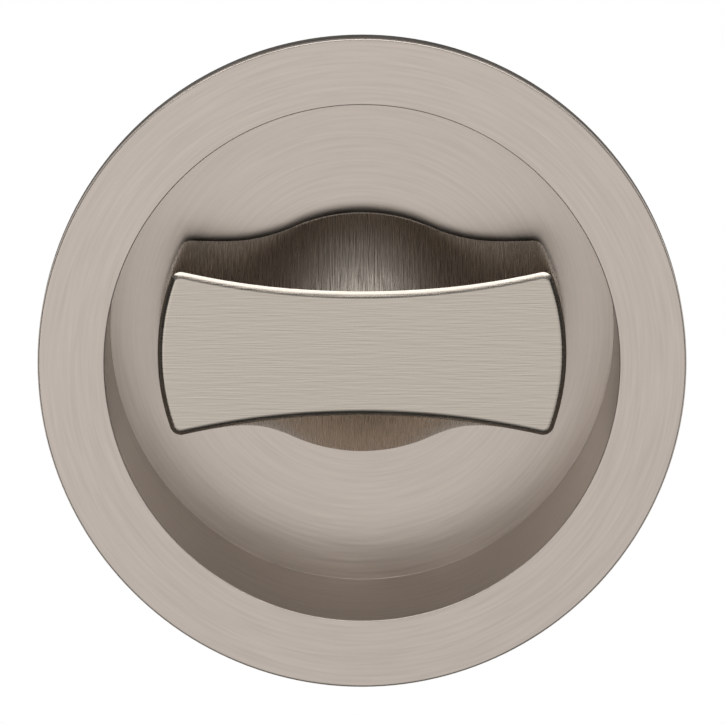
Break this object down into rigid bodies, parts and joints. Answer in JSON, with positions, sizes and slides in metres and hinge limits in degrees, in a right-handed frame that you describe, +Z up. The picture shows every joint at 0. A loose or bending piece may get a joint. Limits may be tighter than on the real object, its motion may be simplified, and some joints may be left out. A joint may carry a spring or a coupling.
{
  "type": "pocket door privacy lock",
  "caption": "Round flush cup in satin nickel with a bow-tie thumb turn in its recess, for the inside of a sliding pocket door, with the detent, stop and spindle behind its floor.",
  "frame": {"origin": "on the turn's axis, in the plane of the door's face, where the back of the plate rests", "axes": "+Y into the door along the turn's axis, +Z up, +X to the right of someone facing the plate"},
  "size_m": [0.0636, 0.0364, 0.0636],
  "materials": {
    "satin_nickel_cup": "satin nickel plate, turned: fine rings round the axis",
    "satin_nickel_turn": "satin nickel plate, brushed lengthwise",
    "zinc_casting": "as cast, dull",
    "bushing_brass": "turned",
    "spring_steel": "drawn wire and strip",
    "plated_steel": "zinc plated",
    "hardened_steel": "ground and oiled",
    "white_plastic": "natural nylon"
  },
  "bodies": {
    "cup_body": {"cup": "satin_nickel_cup", "carrier_plate": "zinc_casting", "stem_bushing": "bushing_brass", "detent_spring": "spring_steel", "spring_washer": "plated_steel", "spring_screw": "plated_steel", "mounting_screw_left": "plated_steel", "mounting_screw_right": "plated_steel", "screw_keeper_left": "white_plastic", "screw_keeper_right": "white_plastic"},
    "turn_body": {"thumbturn": "satin_nickel_turn", "stem": "hardened_steel", "thrust_washer": "white_plastic", "detent_cam": "hardened_steel", "stop_washer": "hardened_steel", "wave_washer": "spring_steel", "flat_washer": "plated_steel", "retaining_ring": "spring_steel", "spindle": "plated_steel", "spindle_pin": "spring_steel"}
  },
  "joints": [
    {"name": "turn", "type": "hinge", "parent": "cup_body", "child": "turn_body", "pos_m": [0, 0, 0], "axis": [0, 1, 0], "range_deg": [0, 90], "deforming": ["detent_spring"]}
  ]
}
